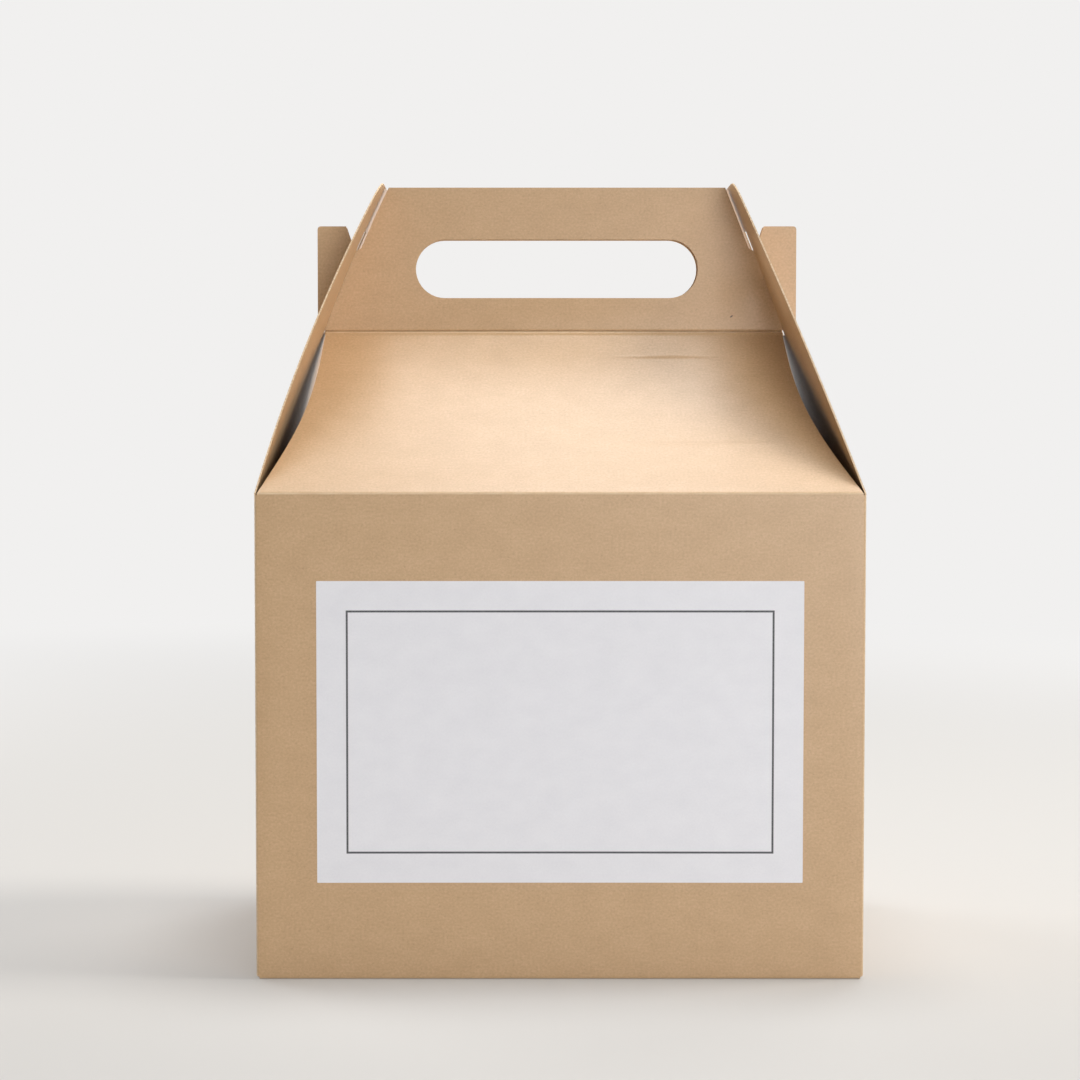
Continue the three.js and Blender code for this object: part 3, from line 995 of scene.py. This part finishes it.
for name, facing in (("leftFlap", -1), ("rightFlap", 1)):
    node = {-1: "left_end_flap", 1: "right_end_flap"}[facing]
    piece = makeFlap(name, facing, [flapKraft, cutBoard])
    fold = board["foldReach"]
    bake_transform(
        piece, "carton", node,
        start=(facing * hingeX, 0, creaseZ - fold),
        end=(facing * hingeX, 0, creaseZ + fold),
    )
    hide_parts(node)

sheet = makeLabel([labelPaper, labelPaper, printedLine])
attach(sheet, "carton")
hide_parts("front_label")
print("pieces ride on their bodies")


stage = {
    "floor": "#d2d0cd",
    "backdrop": "#f1f0ef",
    "floorReach": 6.0,         # m
    "floorDrop": 0.1 * mm,     # below the box's bottom
    "clearFrom": 0.35,         # m from the box, where the floor starts to run into the backdrop
    "clearTo": 1.6,
    "lift": 0.2,               # share of backdrop in the floor close to the box
    "ambient": "#ffffff",
    "ambientStrength": 0.2,
}


# 1 for rays from the camera and mirrored ones, which see the backdrop, and 0 for those that light the box.
def seenRays(tree):
    light = addNode(tree, "ShaderNodeLightPath")
    seen = light.outputs["Is Camera Ray"]
    for ray in ("Is Glossy Ray", "Is Transmission Ray"):
        links = {0: seen, 1: light.outputs[ray]}
        seen = addNode(tree, "ShaderNodeMath", {"operation": "MAXIMUM"}, links).outputs[0]
    return seen


# A plain pale floor that runs into the backdrop, and keeps the box's shadow.
def makeFloor():
    bm = bmesh.new()
    bmesh.ops.create_grid(bm, x_segments=2, y_segments=2, size=stage["floorReach"])
    bmesh.ops.translate(bm, verts=bm.verts[:], vec=(0, 0, -stage["floorDrop"]))
    mesh = bpy.data.meshes.new("floor")
    bm.to_mesh(mesh)
    bm.free()
    floor = bpy.data.objects.new("floor", mesh)
    bpy.context.scene.collection.objects.link(floor)
    material, tree = newMaterial("paleFloor")
    spot = addNode(tree, "ShaderNodeTexCoord")
    links = {0: spot.outputs["Object"]}
    away = addNode(tree, "ShaderNodeVectorMath", {"operation": "LENGTH"}, links).outputs["Value"]
    clear = addNode(
        tree, "ShaderNodeMapRange",
        {
            "interpolation_type": "SMOOTHSTEP",
            "From Min": stage["clearFrom"],
            "From Max": stage["clearTo"],
            "To Min": stage["lift"],
        },
        {"Value": away},
    ).outputs["Result"]
    seen = seenRays(tree)
    share = addNode(tree, "ShaderNodeMath", {"operation": "MULTIPLY"}, {0: seen, 1: clear}).outputs[0]
    matt = addNode(tree, "ShaderNodeBsdfDiffuse", {"Color": linear(stage["floor"])})
    bright = addNode(tree, "ShaderNodeEmission", {"Color": linear(stage["backdrop"]), "Strength": 1.0})
    both = addNode(
        tree, "ShaderNodeMixShader", None, {0: share, 1: matt.outputs["BSDF"], 2: bright.outputs["Emission"]}
    )
    addNode(tree, "ShaderNodeOutputMaterial", None, {"Surface": both.outputs["Shader"]})
    mesh.materials.append(material)


def makeWorld():
    world = bpy.data.worlds.new("studio")
    bpy.context.scene.world = world
    world.use_nodes = True
    tree = world.node_tree
    tree.nodes.clear()
    seen = seenRays(tree)
    settings = {"Color": linear(stage["ambient"]), "Strength": stage["ambientStrength"]}
    ambient = addNode(tree, "ShaderNodeBackground", settings)
    backdrop = addNode(tree, "ShaderNodeBackground", {"Color": linear(stage["backdrop"]), "Strength": 1.0})
    both = addNode(
        tree, "ShaderNodeMixShader", None,
        {0: seen, 1: ambient.outputs["Background"], 2: backdrop.outputs["Background"]},
    )
    addNode(tree, "ShaderNodeOutputWorld", None, {"Surface": both.outputs["Shader"]})


lamps = {
    # name: (place in m, size in m, watts, colour)
    "key": ((0.75, -0.05, 1.25), 0.45, 9, "#fffaf2"),
    "top": ((0.05, 0.12, 1.35), 0.5, 7.3, "#ffffff"),
    "front": ((0.65, -1.75, 0.06), 1.2, 24.8, "#ffffff"),
    "back": ((0.9, 1.5, 0.6), 1.2, 14, "#ffffff"),
    "left": ((-1.2, 0.9, 0.5), 1.0, 12, "#ffffff"),
}
lampAim = Vector((0, 0, 0.15))    # m, the middle of the box


def makeLamps():
    for name, (place, size, watts, colour) in lamps.items():
        light = bpy.data.lights.new(name, "AREA")
        light.shape = "DISK"
        light.size = size
        light.energy = watts
        light.color = linear(colour)[:3]
        lamp = bpy.data.objects.new(name, light)
        lamp.location = place
        lamp.rotation_euler = (lampAim - Vector(place)).to_track_quat("-Z", "Y").to_euler()
        lamp.visible_camera = False
        bpy.context.scene.collection.objects.link(lamp)


view = {
    "place": (-16.6 * mm, -900 * mm, 204 * mm),
    "tilt": 2.6,               # degrees down
    "lens": 73.33,             # mm
    "sensor": 36,              # mm
    "shift": 0.0222,
    "clip": (0.05, 50),        # m
}


def makeCamera():
    data = bpy.data.cameras.new("camera")
    data.sensor_width = view["sensor"]
    data.lens = view["lens"]
    data.shift_x = view["shift"]
    data.clip_start, data.clip_end = view["clip"]
    camera = bpy.data.objects.new("camera", data)
    camera.location = view["place"]
    camera.rotation_euler = (math.radians(90 - view["tilt"]), 0, 0)
    bpy.context.scene.collection.objects.link(camera)
    bpy.context.scene.camera = camera


makeFloor()
makeWorld()
makeLamps()
makeCamera()
bpy.context.scene.view_settings.view_transform = "Standard"
print("stage set")
